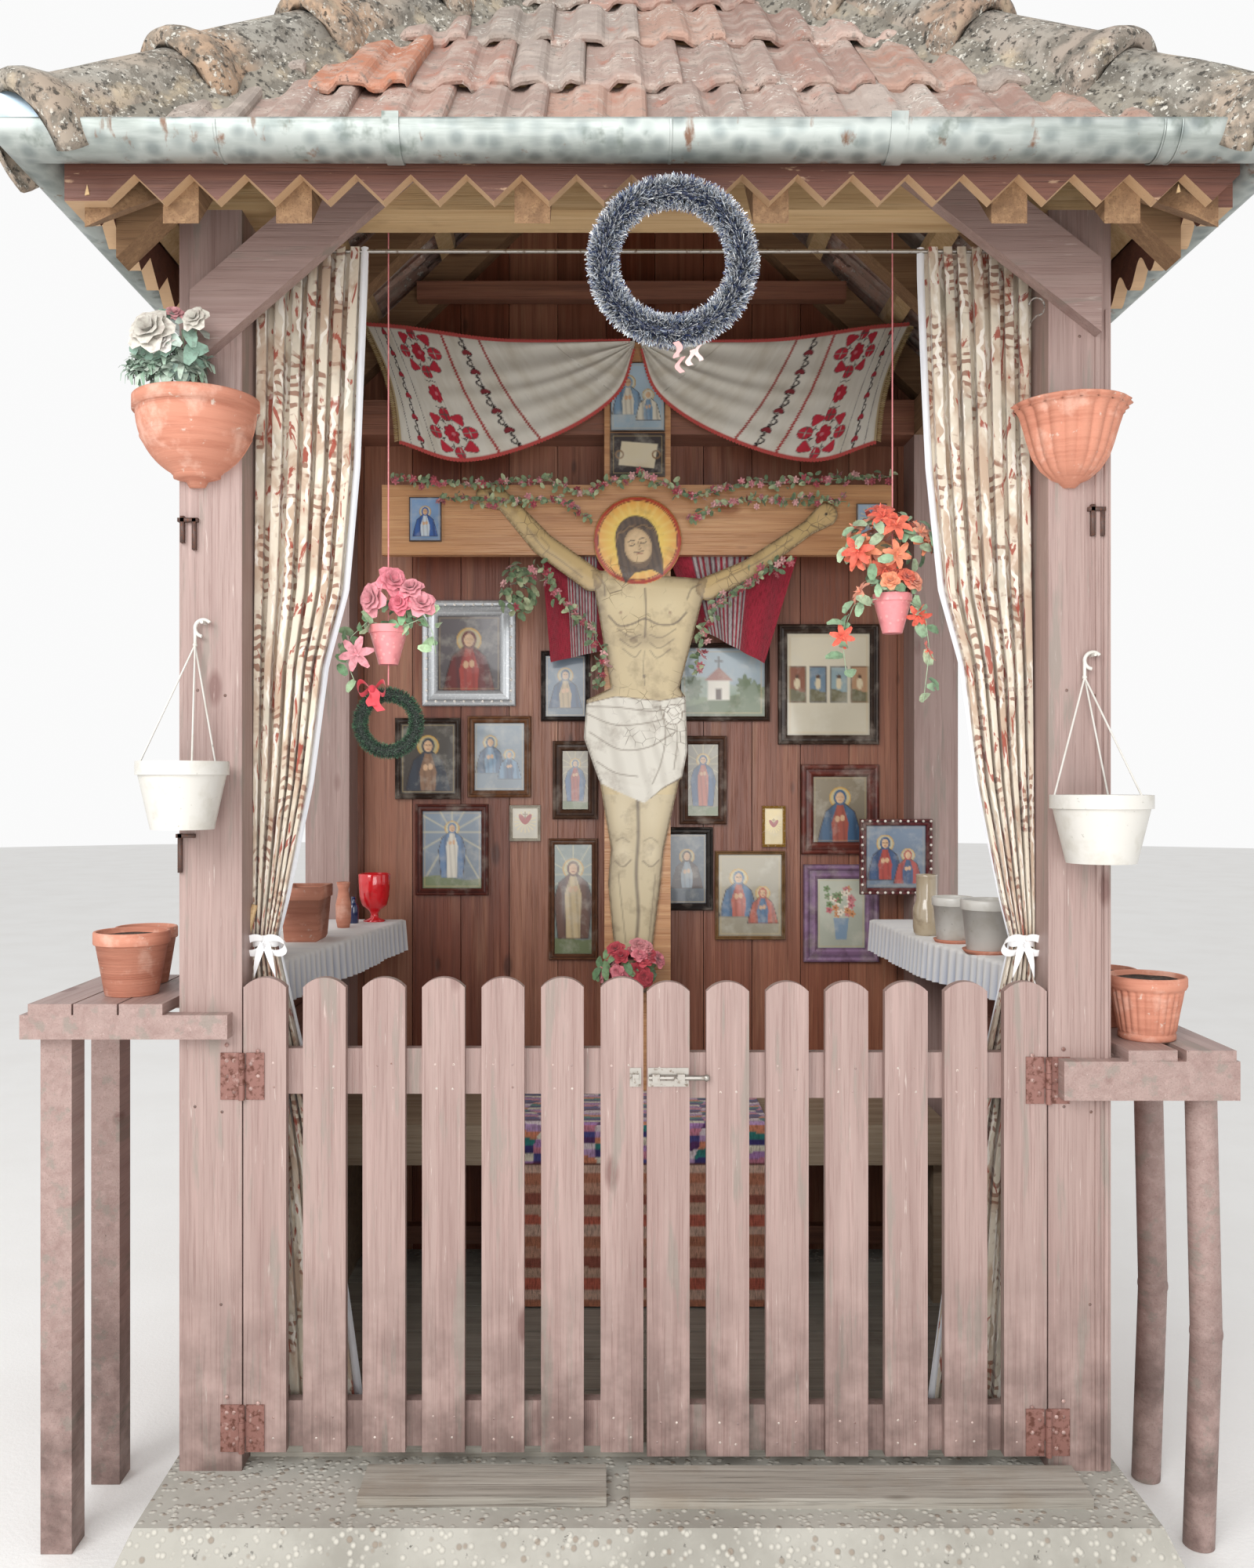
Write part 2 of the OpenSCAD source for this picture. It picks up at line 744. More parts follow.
// Gutters round the front and both sides, mitred at the corners and closed at the back
module gutters() {
  l = 2 * (fascia_x + 2 * gutter_r);
  d = verge_y - fascia_y + 2 * gutter_r;
  w = 2 * gutter_r;
  color("#A9B0A9") on_footing() translate([0, 0, gutter_z]) {
    intersection() {
      translate([-l / 2, fascia_y, 0]) rotate([90, 0, 90]) linear_extrude(l) mirror([1, 0]) gutter_section();
      translate([0, fascia_y, -w]) linear_extrude(2 * w)
        polygon([[-l / 2, -w], [l / 2, -w], [l / 2 - w, 0], [w - l / 2, 0]]);
    }
    for (sx = [-1, 1]) scale_side(sx) {
      intersection() {
        translate([fascia_x, verge_y, 0]) rotate([90, 0, 0]) linear_extrude(d) gutter_section();
        translate([fascia_x, fascia_y, -w]) linear_extrude(2 * w) polygon([[0, 0], [w, -w], [w, d], [0, d]]);
      }
      translate([fascia_x + gutter_r, verge_y, 0]) rotate([90, 0, 0]) linear_extrude(gutter_t)
        half_ring(gutter_r, gutter_r - 1);
    }
  }
}

// Straps that carry the front gutter, bent up over its rim
module gutter_straps() {
  r = gutter_r + slack + band_t;
  color("#9DA39D") on_footing() for (x = [-band_left_x - band_w / 2, band_right_x - band_w / 2])
    translate([x, fascia_y, gutter_z]) rotate([90, 0, 90]) linear_extrude(band_w) {
      intersection() {
        translate([-gutter_r, 0]) half_ring(r, band_t);
        translate([-3 * r, -2 * r]) square([3 * r, 2 * r]);
      }
      translate([-gutter_r - r, 0]) square([band_t, 2 * bead_r]);
    }
}

// Sheets that stand on the gutter rim at the front corners, with a rounded top
module corner_guards() {
  corner = fascia_x + 2 * gutter_r;
  low = guard_h * 0.44;
  color("#A9B7C2") on_footing() for (sx = [-1, 1]) scale_side(sx)
    translate([0, fascia_y - 2 * gutter_r + bead_r + 1, gutter_z + bead_r]) rotate([90, 0, 0])
      linear_extrude(2) polygon(concat([[corner - guard_l, 0], [corner, 0], [corner, guard_h]],
        [for (a = [0:15:90]) [corner - guard_l / 2 * (1 + sin(a)), low + (guard_h - low) * cos(a)]]));
}

cross_y = back_y - post - cross_t;

// Cross of two flat timbers, halved into each other
module cross() {
  color("#C08A5A") on_footing() translate([cross_x, 0, 0]) {
    bar(-cross_w / 2, cross_y, cross_beam_z, cross_w, cross_t, cross_beam_h);
    bar(-upright_w / 2, cross_y, bench_z, upright_w, cross_t, cross_top - bench_z);
  }
}

// Height of the middle of the halo above the underside of the cross beam
halo_rise = 37;
// Joints of both arms, from the shoulder to the hand: place from the middle of the halo, and radius
arms = [
  [[-125, -105, 32], [-257, -10, 31], [-359, 104, 24], [-400, 125, 38]],
  [[190, -130, 32], [299, -79, 26], [463, 35, 20], [510, 70, 32]]
];
trunk = [
  [-125, -80], [190, -105], [113, -400], [130, -425], [135, -570], [120, -645], [20, -700], [-105, -650],
  [-146, -535], [-138, -432], [-72, -400]
];
legs = [
  [-104, -645], [-72, -835], [-80, -930], [-68, -1060], [-45, -1225], [25, -1225], [45, -1060], [62, -930],
  [70, -840], [114, -645]
];

// Tapered limb between two joints, rounded at the second
module limb(a, b) {
  d = [b[0] - a[0], b[1] - a[1]];
  n = [-d[1], d[0]] / norm(d);
  p = [a[0], a[1]];
  q = [b[0], b[1]];
  // The sides end just inside the rounded joints
  r = [a[2] - 0.6, b[2] - 0.6];
  polygon([p + r[0] * n, q + r[1] * n, q - r[1] * n, p - r[0] * n]);
  translate(q) circle(b[2]);
}

// Flat painted figure with a halo, cut out of a board
module figure() {
  color("#D8B25A") on_footing() translate([cross_x, cross_y, cross_beam_z + halo_rise]) rotate([90, 0, 0])
    linear_extrude(figure_t) {
      circle(halo_r, $fn = 64);
      polygon(trunk);
      polygon(legs);
      for (arm = arms) {
        translate([arm[0][0], arm[0][1]]) circle(arm[0][2]);
        for (i = [1:3]) limb(arm[i - 1], arm[i]);
      }
    }
}

// Framed pictures: middle X, distance of the middle under the cross beam, width, height, width of the frame
// X counts from the left post, from the middle or from the right post
left_pictures = [
  [317, 253, 265, 299, 44], [201, 551, 186, 230, 16], [403, 546, 180, 230, 20], [269, 809, 206, 258, 20],
  [476, 734, 88, 102, 8]
];
middle_pictures = [
  [-185, 346, 139, 199, 14], [-157, 612, 128, 221, 28], [-163, 949, 139, 343, 17],
  [261, 335, 265, 221, 14], [205, 612, 133, 250, 24], [159, 863, 148, 235, 20]
];
right_pictures = [
  [-437, 938, 198, 250, 10], [-215, 341, 286, 340, 26], [-182, 695, 220, 254, 34], [-179, 989, 214, 276, 40],
  [-370, 743, 66, 117, 8]
];
// A picture that hangs on the front of the right back post
post_picture = [-52, 822, 198, 206, 18];
// Boards on the cross: middle X, distance of the middle under the top of the cross, width, height
upright_boards = [[0, 150, 149, 187], [0, 307, 149, 118]];
beam_boards = [[119, 470, 87, 120], [-60, 454, 81, 85]];
picture_t = 18;
board_t = 10;
// Depth of the pocket inside a frame
pocket = 6;

// Upright rectangle against a plane at y, hung down from a height
module hung_board(p, x0, y, top, t) bar(x0 + p[0] - p[2] / 2, y - t, top - p[1] - p[3] / 2, p[2], t, p[3]);

// The same with a shallow pocket for the picture
module framed(p, x0, y) difference() {
  inside = [p[0], p[1], p[2] - 2 * p[4], p[3] - 2 * p[4]];
  hung_board(p, x0, y, cross_beam_z, picture_t);
  hung_board(inside, x0, y - picture_t + pocket, cross_beam_z, 2 * pocket);
}

module wall_pictures() {
  color("#8FA3AC") on_footing() {
    for (p = left_pictures) framed(p, -inner_w, back_y);
    for (p = middle_pictures) framed(p, 0, back_y);
    for (p = right_pictures) framed(p, inner_w, back_y);
    framed(post_picture, inner_w, back_y - post);
  }
}

module cross_pictures() {
  color("#8FA3AC") on_footing() translate([cross_x, 0, 0]) {
    for (p = upright_boards) hung_board(p, 0, cross_y, cross_top, board_t);
    hung_board(beam_boards[0], -cross_w / 2, cross_y, cross_top, board_t);
    hung_board(beam_boards[1], cross_w / 2, cross_y, cross_top, board_t);
  }
}

shelf_z = side_wall_h + window_board_t;
shelf_y = back_y - post - 2;
shelf_x = half_w - 6;
shelf_y_rows = [shelf_y - shelf_l, shelf_y - shelf_l * 0.56, shelf_y];
// Widths of the left and the right shelf in those rows
shelf_widths = [[124, 190, 261], [132, 201, 229]];

// The inner edge of a corner shelf from front to back, moved towards the room by a distance
function shelf_edge(side, d) = [for (i = [0:2]) [shelf_x - shelf_widths[side][i] - d, shelf_y_rows[i]]];

// Shelves in both back corners, lying on the window boards
module shelves() {
  color("#C9B79A") on_footing() for (side = [0, 1]) scale_side(2 * side - 1) translate([0, 0, shelf_z])
    linear_extrude(shelf_t)
      polygon(concat([[shelf_x, shelf_y_rows[0]]], shelf_edge(side, 0), [[shelf_x, shelf_y]]));
}

// Bench between the side walls, with a board along its front and two trestles
module bench() {
  y1 = back_y - rail_t - 2;
  y0 = y1 - bench_d;
  w = 2 * inner_w - 4;
  color("#B9AFA0") on_footing() {
    bar(-w / 2, y0, bench_z - bench_t, w, bench_d, bench_t);
    bar(-w / 2, y0 - bench_t, bench_z - apron_h, w, bench_t, apron_h);
    for (x = [-w / 2, -bench_t / 2, w / 2 - bench_t])
      bar(x, y0, floor_t, bench_t, bench_d, bench_z - bench_t - floor_t);
  }
}

// Rails of a plant stand that reaches to x1: one nailed across the front of the post, one behind
module stand_rails(x1, top, h) {
  x0 = half_w - stand_lap;
  bar(x0, front_y - stand_rail_t, top - h, x1 - x0, stand_rail_t, h);
  bar(half_w, front_y + stand_d, top - h, x1 - half_w, stand_rail_t, h);
}

stand_board_l = stand_d + 2 * stand_rail_t;

// Stand with square legs and three boards
module plant_stand_left() {
  x1 = half_w + stand_left_w;
  top = ground_z + stand_left_z;
  x0 = half_w + sill_reach + 1;
  step = (x1 - 12 - x0) / 3;
  color("#A98781") on_ground() mirror([1, 0, 0]) {
    stand_rails(x1, top, left_rail_h);
    for (i = [0:2])
      bar(x0 + i * step, front_y - stand_rail_t, top, step - 4, stand_board_l, stand_board_t);
    for (y = [front_y, front_y + stand_d - stand_leg])
      bar(x1 - 25 - stand_leg, y, 0, stand_leg, stand_leg, top);
  }
}

// Stand with two skew boards on legs of bent poles
module plant_stand_right() {
  x1 = half_w + stand_right_w;
  top = ground_z + stand_right_z;
  step = stand_right_w / 2 - 8;
  color("#A98781") on_ground() {
    difference() {
      stand_rails(x1, top, right_rail_h);
      translate([0, 0, ground_z]) hinge_places(1) bar(
        0, front_y - flap_t - slack, -slack, axis_x + flap_w + slack, 2 * flap_t, hinge_l + 2 * slack);
    }
    for (p = [[half_w + 20, 1.6], [half_w + 22 + step, -1]])
      translate([p[0], front_y - stand_rail_t, top]) rotate([0, 0, p[1]])
        cube([step - 14, stand_board_l, stand_board_t]);
    for (y = [front_y + 1.1 * pole_r, front_y + stand_d - 1.1 * pole_r])
      bent_pole(x1 - 1.55 * pole_r, y, top - right_rail_h / 2);
    for (y = [front_y, front_y + stand_d - 2.2 * pole_r])
      bar(x1 - 2.6 * pole_r, y, top - right_rail_h, 2 * pole_r, 2.2 * pole_r, right_rail_h);
  }
}

// How far the knot in the middle of a pole stands out
knot = 1.5;

// Pole that bows outwards at a knot in the middle
module bent_pole(x, y, top) {
  knee = [x + 0.4 * pole_r, y, top * 0.45];
  intersection() {
    union() {
      rod([x - 3, y, -1], knee, pole_r);
      translate(knee) sphere(pole_r + knot);
      rod(knee, [x, y, top + 1], pole_r);
    }
    bar(x - 3 * pole_r, y - 2 * pole_r, 0, 6 * pole_r, 4 * pole_r, top);
  }
}

rim_t = 7;
soil_drop = 12;

// Filled pot: a tapered body with a rim band and a shallow hollow on top
module pot(r, h, taper = 0.7) {
  rotate_extrude() polygon([
    [0, 0], [r * taper, 0], [r * 0.94, h * 0.8], [r, h * 0.8], [r, h], [r - rim_t, h],
    [r - rim_t, h - soil_drop], [0, h - soil_drop]
  ]);
}

// Pot with a foot ring, a plain tapered body and a tall rim
module ringed_pot(r, h) {
  foot = h * 0.11;
  rim = h * 0.2;
  step = 3;
  rotate_extrude() polygon([
    [0, 0], [r * 0.72 - step, 0], [r * 0.72, foot], [r * 0.7, foot + 1], [r * 0.9, h - rim - 1],
    [r - step, h - rim], [r, h - rim * 0.7], [r, h], [r - rim_t, h], [r - rim_t, h - soil_drop],
    [0, h - soil_drop]
  ]);
}

// Pots on both stands, a smaller one behind each
module stand_pots() {
  z_left = ground_z + stand_left_z + stand_board_t;
  z_right = ground_z + stand_right_z + stand_board_t;
  color("#C98673") on_ground() {
    translate([-half_w - 123, front_y + 85, z_left]) pot(73, 126);
    translate([-half_w - 147, front_y + 232, z_left]) pot(63, 118);
    translate([half_w + 106, front_y + 85, z_right]) ringed_pot(75, 126);
    translate([half_w + 84, front_y + 232, z_right]) pot(62, 118);
  }
}

// Smooth half bowl: a small tip, a stepped foot, a round body and a rim band
module smooth_half_bowl(r, h) {
  band = h * 0.15;
  foot_r = r * 0.42;
  foot_z = h * 0.17;
  body_r = r - 6;
  a0 = asin(foot_r / body_r);
  rotate([0, 0, 180]) rotate_extrude(angle = 180) polygon(concat(
    [[0, 0], [foot_r * 0.3, 0], [foot_r * 0.45, foot_z * 0.4], [foot_r * 0.85, foot_z * 0.55]],
    [for (i = [0:6]) let (a = a0 + (90 - a0) * i / 6)
      [body_r * sin(a), foot_z + (h - band - foot_z) * (1 - cos(a) / cos(a0))]],
    [[r, h - band], [r, h], [r - rim_t, h], [r - rim_t, h - soil_drop], [0, h - soil_drop]]
  ));
}

// Share of the height and of the radius of the flared bowl, from its tip to its rim
bowl_profile = [
  [0, 0.12], [0.06, 0.2], [0.1, 0.34], [0.2, 0.5], [0.35, 0.64], [0.52, 0.72], [0.7, 0.79], [0.86, 0.86],
  [0.98, 0.97]
];

// Flared half bowl, its flat back in the plane y = 0
module flared_half_bowl(r, h) {
  rotate([0, 0, 180]) rotate_extrude(angle = 180) polygon(concat(
    [[0, 0]], [for (p = bowl_profile) [r * p[1], h * p[0]]],
    [[r, h], [r - rim_t, h], [r - rim_t, h - soil_drop], [0, h - soil_drop]]
  ));
}

// How far the half bowls sit off the middle of their posts
bowl_left_off = 25;
bowl_right_off = -20;

// Half bowls fixed to the front of the posts, the right one with a tab at its back
module wall_pots() {
  x = half_w - post / 2;
  color("#CB8A76") on_footing() {
    translate([-x - bowl_left_off, front_y, bowl_z]) smooth_half_bowl(bowl_left_r, bowl_left_h);
    translate([x + bowl_right_off, front_y, bowl_z]) flared_half_bowl(bowl_right_r, bowl_right_h);
    translate([x + bowl_right_off, front_y, bowl_z + bowl_right_h + 6]) rotate([90, 0, 0])
      cylinder(h = 3, r = 20);
  }
}

arm_r = 1.8;
hook_d = 7;
// Radius of the bend of a hook
hook_r = 16;
peg_r = 3;
// Distance of a hook in front of its post
hook_y = 12;

// White pot in front of a post, on thin arms that meet in a hook over a peg
module hanging_pot(x, z, r, h) {
  apex = [0, r + slack - hook_y, h + hanger_h];
  stem = 2 * hook_r;
  translate([x, front_y - r - slack, z]) {
    pot(r, h, 0.68);
    for (a = [60, 180, 300]) rod([(r - 4) * cos(a), (r - 4) * sin(a), h - 3], apex, arm_r);
    translate(apex) {
      sphere(hook_d / 2 + 1);
      cylinder(h = stem + 2, r = hook_d / 2 - 0.4);
      translate([hook_r, 0, stem]) {
        rotate([90, -40, 0]) rotate_extrude(angle = 220) translate([hook_r, 0]) circle(hook_d / 2);
        translate([0, hook_y, hook_r - hook_d / 2 - peg_r + 0.7]) rotate([90, 0, 0])
          cylinder(h = 2 * hook_y, r = peg_r);
      }
    }
  }
}

module hanging_pots() {
  color("#E6E3DC") on_footing() {
    hanging_pot(-half_w + 34, hanging_left_z, hanging_left_r, hanging_h);
    hanging_pot(half_w - 55, hanging_right_z, hanging_right_r, hanging_h);
  }
}

string_x = [-520, 512];
string_r = 1.5;

string_y_at = front_y + string_y;
// Length of the string between the left pot and the small wreath
string_link = 42;

// Small pots on strings from the hip rafters, the left string going on down to the small wreath
module string_pots() {
  color("#E79A9A") on_footing() for (p = [[string_x[0], string_left_z], [string_x[1], string_right_z]])
    translate([p[0], string_y_at, p[1]]) {
      // Mean distance in from the two eaves
      d = (eave_x - abs(p[0]) + string_y_at - eave_y) / 2;
      top = roof_z(d) - batten_v - hip_drop - seat - rafter_h / cos(hip_rise) - string_r - p[1];
      pot(string_pot_r, 2 * string_pot_r, 0.5);
      translate([0, 0, string_pot_r]) cylinder(h = top - string_pot_r, r = string_r, $fn = 16);
      if (p[0] < 0) translate([0, 0, -string_link]) cylinder(h = string_link + 1, r = string_r, $fn = 16);
    }
}

// Long pot with sloping walls and a rim, standing in its saucer
module planter(w, l, h) {
  saucer_h = 16;
  lip = 18;
  flare = 12;
  bar(-w / 2 - 6, -l / 2 - 6, 0, w + 12, l + 12, saucer_h);
  translate([0, 0, saucer_h]) linear_extrude(h - saucer_h - lip, scale = (w + 2 * flare) / w)
    square([w, l], center = true);
  translate([0, 0, h - lip]) difference() {
    bar(-w / 2 - flare - 4, -l / 2 - 2 * flare, 0, w + 2 * flare + 8, l + 4 * flare, lip);
    bar(-w / 2 - flare + rim_t, -l / 2 - flare, lip - soil_drop,
      w + 2 * flare - 2 * rim_t, l + 2 * flare, lip);
  }
}

// Cup on a narrow foot, with a handle on the right
module footed_cup(r, h) {
  rotate_extrude() polygon([
    [0, 0], [r * 0.5, 0], [r * 0.5, 3], [r * 0.26, h * 0.12], [r * 0.26, h * 0.2], [r * 0.72, h * 0.27],
    [r, h], [r - 3, h], [r * 0.75, h * 0.36], [0, h * 0.36]
  ]);
  translate([r * 0.9, 0, h * 0.64]) rotate([90, -90, 0]) rotate_extrude(angle = 180, $fn = 24)
    translate([h * 0.2, 0]) circle(3);
}

// Pots and cups on the corner shelves
module shelf_pots() {
  color("#D98466") on_footing() translate([0, 0, shelf_z + shelf_t]) {
    translate([-inner_w - 13, back_y - 568, 0]) planter(96, 146, 130);
    translate([-inner_w + 79, back_y - 174, 0]) footed_cup(43, 131);
    translate([-inner_w + 31, back_y - 219, 0]) pot(14, 72, 0.8);
    translate([-inner_w + 25, back_y - 319, 0]) pot(20, 119, 0.8);
    translate([inner_w - 60, back_y - 480, 0]) jar(33, 150);
    translate([inner_w - 33, back_y - 617, 0]) pot_in_saucer(49, 108);
    translate([inner_w - 10, back_y - 800, 0]) pot_in_saucer(57, 119);
  }
}

// Round jar with a straight neck
module jar(r, h) {
  rotate_extrude() polygon([
    [0, 0], [r * 0.8, 0], [r, h * 0.12], [r, h * 0.46], [r * 0.76, h * 0.56], [r * 0.76, h], [r * 0.62, h],
    [r * 0.62, h - soil_drop], [0, h - soil_drop]
  ]);
}

// Pot that stands in a shallow saucer
module pot_in_saucer(r, h) {
  rotate_extrude() polygon([[0, 0], [r * 0.84, 0], [r * 0.94, 10], [0, 10]]);
  translate([0, 0, 10]) pot(r, h - 10, 0.78);
}

leaf_w = inner_w - leaf_gap / 2 - hinge_gap;
axis_y = front_y - flap_t - knuckle_r + 2;
axis_x = inner_w - hinge_gap / 2;
// Heights of the gate rails above the feet of the pickets
rail_rows = [low_rail_z, gate_h - top_rail_drop - gate_rail_h];

// Round topped picket in the plane of the front
module picket(x) {
  translate([x, front_y + picket_t, gate_z]) rotate([90, 0, 0]) linear_extrude(picket_t) {
    square([picket_w, gate_h - picket_w * 0.22]);
    intersection() {
      translate([picket_w / 2, gate_h - picket_w * 0.65]) circle(picket_w * 0.65, $fn = 48);
      square([picket_w, gate_h]);
    }
  }
}

// One leaf for the right hand side: pickets on two rails
module gate_leaf() {
  x0 = leaf_gap / 2;
  step = (leaf_w - picket_w) / (pickets - 1);
  for (i = [0:pickets - 1]) picket(x0 + i * step);
  for (z = rail_rows) bar(x0 + 20, front_y + picket_t, gate_z + z, leaf_w - 28, gate_rail_t, gate_rail_h);
}
module gate_left() color("#A5827C") on_footing() mirror([1, 0, 0]) gate_leaf();
module gate_right() color("#A5827C") on_footing() translate([0, 0, -right_drop]) gate_leaf();

hinge_rows = [gate_z + rail_rows[0], gate_z + rail_rows[1] - 6];

// One flap of a butt hinge with its knuckles, to the right of the axis when side is 1
module flap(side, from, to) {
  h = hinge_l / 3;
  x0 = side > 0 ? 0 : -flap_w;
  bar(axis_x + x0, front_y - flap_t, 0, flap_w, flap_t, hinge_l);
  for (i = [from:2:to]) translate([axis_x, axis_y, i * h + slack]) cylinder(h = h - 2 * slack, r = knuckle_r);
}

// Places its children at the lower end of each hinge of a side
module hinge_places(sx) {
  for (z = hinge_rows) translate([0, 0, z - (sx > 0 ? right_drop : 0)]) children();
}

// Flaps on the posts, with the pins
module gate_hinges() {
  color("#8A5F58") on_footing() for (sx = [-1, 1]) scale_side(sx) hinge_places(sx) {
    difference() {
      flap(1, 0, 2);
      translate([axis_x - flap_w, axis_y - knuckle_r, hinge_l / 3])
        cube([flap_w + knuckle_r + 1, 40, hinge_l / 3]);
    }
    translate([axis_x, axis_y, slack]) cylinder(h = hinge_l - 2 * slack, r = pin_r);
  }
}

// Flaps on a leaf
module leaf_hinges(sx) {
  hinge_places(sx) difference() {
    flap(-1, 1, 1);
    for (z = [-1, hinge_l * 2 / 3])
      translate([axis_x - knuckle_r - 1, axis_y - knuckle_r, z]) cube([40, 40, hinge_l / 3 + 1]);
    translate([axis_x, axis_y, -1]) cylinder(h = hinge_l + 2, r = pin_r + slack);
  }
}
module hinges_left() color("#9A726B") on_footing() mirror([1, 0, 0]) leaf_hinges(-1);
module hinges_right() color("#9A726B") on_footing() leaf_hinges(1);

plate_t = 2;
strap_t = 2.5;
bolt_room = 0.6;
bolt_y = front_y - plate_t - bolt_room - bolt_r;
handle_r = 3.5;
knob_r = bolt_r + 2;
guide_w = 14;
guide_at = 8;
// Room between the guides for the handle to travel
guide_gap = bolt_travel + 2 * handle_r + 1;
plate_l = 2 * (guide_at + guide_w) + guide_gap;
bolt_l = plate_l - guide_at + bolt_travel + 2 * knob_r;
bolt_start = 2;

// Strap of a width bent round the bolt, open towards its plate
module strap(x, w) {
  r = bolt_r + bolt_room;
  for (z = [-r - strap_t, r]) bar(x, bolt_y - r, z, w, front_y - plate_t - bolt_y + r, strap_t);
  bar(x, bolt_y - r - strap_t, -r - strap_t, w, strap_t, 2 * (r + strap_t));
}

// Plate with two guides on the right leaf
module bolt_guides() {
  color("#9B8C84") on_footing() translate([leaf_gap / 2 + bolt_start, 0, bolt_z]) {
    bar(0, front_y - plate_t, -18, plate_l, plate_t, 36);
    strap(guide_at, guide_w);
    strap(guide_at + guide_w + guide_gap, guide_w);
  }
}

// Sliding bolt with its handle, drawn back
module bolt() {
  color("#B2ABA4") on_footing() translate([leaf_gap / 2 + 2 * bolt_start, bolt_y, bolt_z]) {
    rotate([0, 90, 0]) cylinder(h = bolt_l, r = bolt_r);
    translate([guide_at + guide_w + guide_gap - handle_r - 0.5 - bolt_start, 0, 0])
      rotate([90, 0, 0]) cylinder(h = 24, r = handle_r);
    translate([bolt_l, 0, 0]) sphere(knob_r);
  }
}

// Staple on the left leaf that takes the bolt
module bolt_keeper() {
  color("#9B8C84") on_footing() translate([-leaf_gap / 2 - bolt_travel, 0, bolt_z]) {
    bar(0, front_y - plate_t, -18, 22, plate_t, 36);
    strap(5, 12);
  }
}

curtain_y = front_y + 84;
curtain_top = front_post_h - 50;
curtain_foot_z = floor_t + 60;
// Shares of the height over the tie and of the gain in width, down the inner edge of a curtain
curtain_edge = [[1, 1], [0.69, 0.89], [0.51, 0.76], [0.4, 0.54], [0.23, 0.37], [0.06, 0.11], [0, 0]];

// Thin rod that carries the front curtains
module curtain_rail() {
  color("#9A9A96") on_footing() translate([-inner_w, curtain_y, curtain_top + 6]) rotate([0, 90, 0])
    cylinder(h = 2 * inner_w, r = 4);
}

// Curtain gathered to the post by a tie
module curtain() {
  x1 = inner_w - slack;
  translate([0, curtain_y + curtain_t / 2, 0]) rotate([90, 0, 0]) linear_extrude(curtain_t) polygon(concat(
    [[x1, curtain_foot_z], [x1, curtain_top]],
    [for (p = curtain_edge)
      [x1 - tie_w - p[1] * (curtain_top_w - tie_w), tie_z + p[0] * (curtain_top - tie_z)]],
    [[x1 - curtain_foot_w * 0.7, tie_z * 0.55], [x1 - curtain_foot_w, curtain_foot_z]]
  ));
}
module curtain_left() color("#DCC8B2") on_footing() mirror([1, 0, 0]) curtain();
module curtain_right() color("#DCC8B2") on_footing() curtain();

// White net curtains in the side openings
module window_curtains() {
  z0 = shelf_z + shelf_t + 2;
  color("#EDEBE6") on_footing() for (sx = [-1, 1]) scale_side(sx)
    bar(half_w - 40, front_y + post + 4, z0, 14, net_w, post_h - z0 - slack);
}

// Shares of the half width and of the height of the towel, from its middle nail round one half
swag = [
  [0.005, 0], [0.314, -0.006], [0.546, 0.012], [0.833, 0.13], [1, 0.14], [0.918, -0.318], [0.876, -0.847],
  [0.628, -1], [0.309, -0.794], [0.077, -0.452]
];

// Long towel hung in two swags in front of the cross
module towel() {
  y = cross_y - board_t - slack;
  color("#E9E4D8") on_footing() translate([cross_x, y, cross_top - 2]) rotate([90, 0, 0])
    linear_extrude(cloth_t) for (sx = [-1, 1])
      polygon([for (p = swag) [sx * p[0] * towel_w, p[1] * towel_h]]);
}

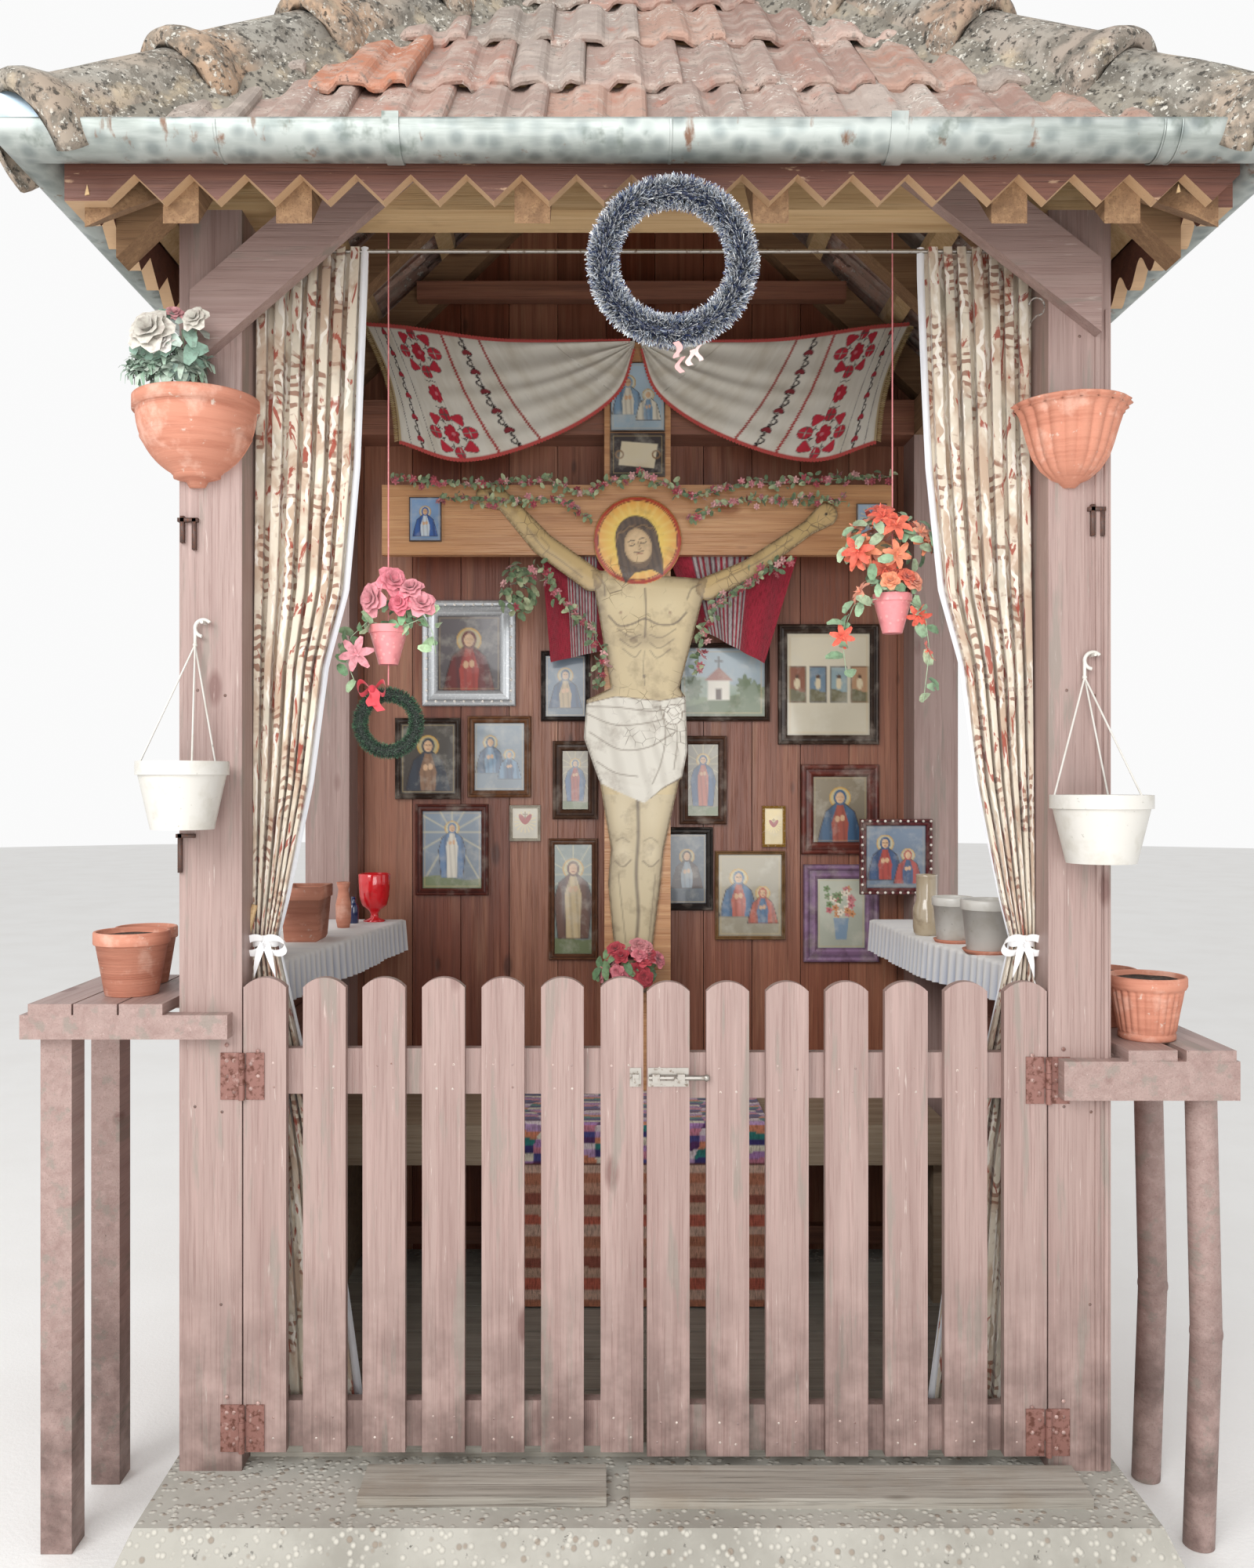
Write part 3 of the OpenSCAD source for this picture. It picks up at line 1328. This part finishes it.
// Upright ring of a tube thickness, hung with its top at the origin
module ring(d, tube) {
  translate([0, 0, -d / 2]) rotate([90, 0, 0]) rotate_extrude($fn = 48)
    translate([(d - tube) / 2, 0]) circle(tube / 2, $fn = 24);
}

// Tinsel wreath that hangs from the front eave
module wreath() {
  color("#AEB8C4") on_footing() translate([wreath_x, fascia_y - tinsel_d / 2 - slack, tooth_z + tinsel_d / 2])
    ring(wreath_d, tinsel_d);
}

// Small green wreath on the string under the left string pot
module small_wreath() {
  color("#4C6A48") on_footing()
    translate([string_x[0], string_y_at, string_left_z - string_link - slack])
      ring(small_wreath_d, small_tube_d);
}

// Gathered skirts along the corner shelves
module shelf_skirts() {
  t = cloth_t + 2;
  color("#EFEDE8") on_footing() for (side = [0, 1]) scale_side(2 * side - 1)
    translate([0, 0, shelf_z + shelf_t - skirt_h]) linear_extrude(skirt_h)
      polygon(concat(shelf_edge(side, slack + 0.1), [for (i = [2:-1:0]) shelf_edge(side, t)[i]]));
}

bench_cloth_w = 630;

// Woven cloth over the middle of the bench, hanging down in front
module bench_cloth() {
  y = back_y - rail_t - 2 - bench_d - bench_t - cloth_t - slack;
  z = floor_t + 4;
  color("#C46A4A") on_footing() translate([-300, y, 0]) {
    bar(0, 0, z, bench_cloth_w, cloth_t, bench_z + slack + cloth_t - z);
    bar(0, 0, bench_z + slack, bench_cloth_w, cross_y - slack - y, cloth_t);
  }
}

footing();
thresholds();
floor_boards();
posts();
side_plates();
front_beam();
back_plate();
knee_braces();
hip_rafters();
side_rafters();
front_rafters();
ridge_board();
battens();
roof_front();
roof_left();
roof_right();
hip_tiles();
ridge_tiles();
back_wall();
wall_rails();
side_walls();
fascia_front();
fascia_sides();
gutters();
gutter_straps();
corner_guards();
cross();
figure();
wall_pictures();
cross_pictures();
shelves();
bench();
plant_stand_left();
plant_stand_right();
stand_pots();
wall_pots();
hanging_pots();
string_pots();
shelf_pots();
gate_left();
gate_right();
gate_hinges();
hinges_left();
hinges_right();
bolt_guides();
bolt();
bolt_keeper();
curtain_rail();
curtain_left();
curtain_right();
window_curtains();
towel();
wreath();
small_wreath();
shelf_skirts();
bench_cloth();
